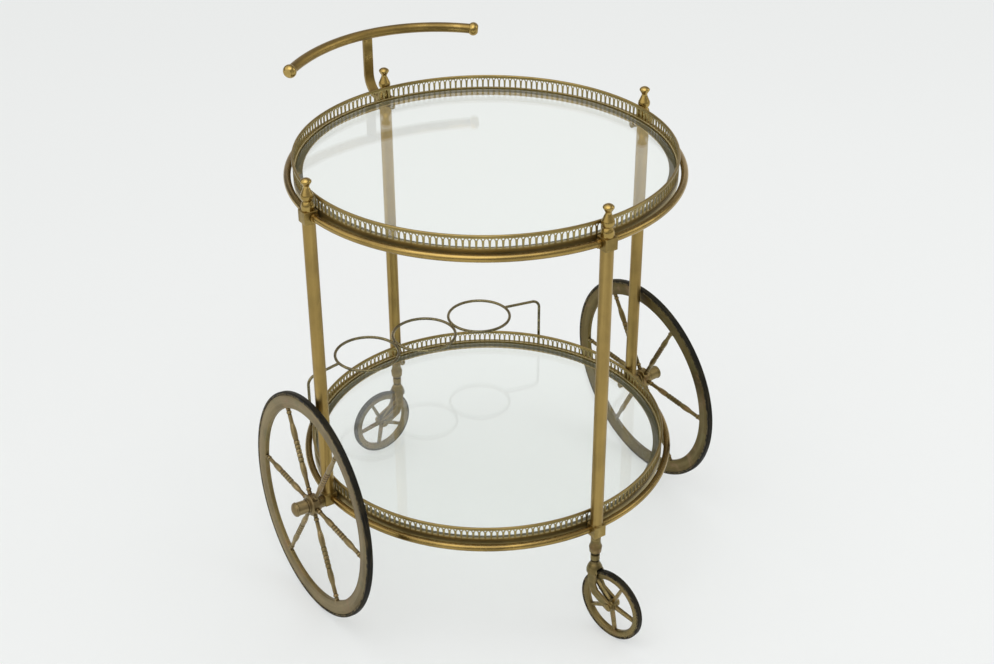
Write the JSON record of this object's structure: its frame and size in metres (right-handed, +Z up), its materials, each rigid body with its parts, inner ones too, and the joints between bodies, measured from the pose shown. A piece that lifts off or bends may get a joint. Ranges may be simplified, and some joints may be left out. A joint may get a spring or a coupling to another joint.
{
  "type": "bar cart",
  "caption": "Round tiered serving cart with glass shelves in pierced brass galleries, large spoked wheels, swivel casters, a bowed push handle and a wire bottle holder.",
  "frame": {"origin": "on the floor, under the middle of the cart's box", "axes": "+X along the wheel axle, +Y towards the push handle, +Z up"},
  "size_m": [0.596, 0.6175, 0.6435],
  "materials": {
    "aged_brass": "aged antique brass, worn bright on edges, dark in recesses",
    "cast_brass": "cast brass, slightly rough, aged",
    "dull_brass": "dull grey-brown brass with handling wear",
    "fasteners": "dark aged brass",
    "tyre": "worn black rubber",
    "glass": "clear glass with a slight green tint"
  },
  "bodies": {
    "frame": {"axle_nuts": "fasteners", "bottle_legs": "aged_brass", "bottle_rings": "aged_brass", "front_caster_stem": "dull_brass", "front_finial": "aged_brass", "front_lower_block": "cast_brass", "front_post": "aged_brass", "front_upper_block": "cast_brass", "handle_balls": "aged_brass", "handle_bar": "aged_brass", "handle_screw": "fasteners", "handle_strap": "aged_brass", "left_axle": "fasteners", "left_finial": "aged_brass", "left_lower_block": "cast_brass", "left_post": "aged_brass", "left_upper_block": "cast_brass", "lower_gallery": "aged_brass", "lower_glass": "glass", "lower_rail": "aged_brass", "lower_ring_rods": "aged_brass", "lower_tray_ring": "aged_brass", "rear_caster_stem": "dull_brass", "rear_finial": "aged_brass", "rear_lower_block": "cast_brass", "rear_post": "aged_brass", "rear_upper_block": "cast_brass", "right_axle": "fasteners", "right_finial": "aged_brass", "right_lower_block": "cast_brass", "right_post": "aged_brass", "right_upper_block": "cast_brass", "tray_nuts": "fasteners", "tray_screws": "fasteners", "upper_gallery": "aged_brass", "upper_glass": "glass", "upper_rail": "aged_brass", "upper_ring_rods": "aged_brass", "upper_tray_ring": "aged_brass"},
    "left_wheel": {"left_tyre": "tyre", "left_rim": "dull_brass", "left_spokes": "dull_brass", "left_hub": "dull_brass", "left_hub_cap": "dull_brass"},
    "right_wheel": {"right_tyre": "tyre", "right_rim": "dull_brass", "right_spokes": "dull_brass", "right_hub": "dull_brass", "right_hub_cap": "dull_brass"},
    "front_caster_fork": {"front_fork": "dull_brass", "front_kingpin": "fasteners", "front_caster_axle": "fasteners"},
    "front_caster_roller": {"front_caster_wheel": "dull_brass", "front_caster_tyre": "tyre"},
    "rear_caster_fork": {"rear_fork": "dull_brass", "rear_kingpin": "fasteners", "rear_caster_axle": "fasteners"},
    "rear_caster_roller": {"rear_caster_wheel": "dull_brass", "rear_caster_tyre": "tyre"}
  },
  "joints": [
    {"name": "left_wheel_spin", "type": "hinge", "parent": "frame", "child": "left_wheel", "pos_m": [-0.269, 0.01491, 0.14987], "axis": [0.9983, 0, -0.0576], "continuous": true},
    {"name": "right_wheel_spin", "type": "hinge", "parent": "frame", "child": "right_wheel", "pos_m": [0.269, 0.01491, 0.14987], "axis": [0.9983, 0, 0.0576], "continuous": true},
    {"name": "front_caster_swivel", "type": "hinge", "parent": "frame", "child": "front_caster_fork", "pos_m": [0, -0.23059, 0.105], "axis": [0, 0, 1], "continuous": true},
    {"name": "front_caster_spin", "type": "hinge", "parent": "front_caster_fork", "child": "front_caster_roller", "pos_m": [0.00586, -0.26073, 0.0483], "axis": [0.9816, 0.1908, 0], "continuous": true},
    {"name": "rear_caster_swivel", "type": "hinge", "parent": "frame", "child": "rear_caster_fork", "pos_m": [0, 0.26041, 0.105], "axis": [0, 0, 1], "continuous": true},
    {"name": "rear_caster_spin", "type": "hinge", "parent": "rear_caster_fork", "child": "rear_caster_roller", "pos_m": [-0.03058, 0.25773, 0.0483], "axis": [0.0872, -0.9962, 0], "continuous": true}
  ]
}
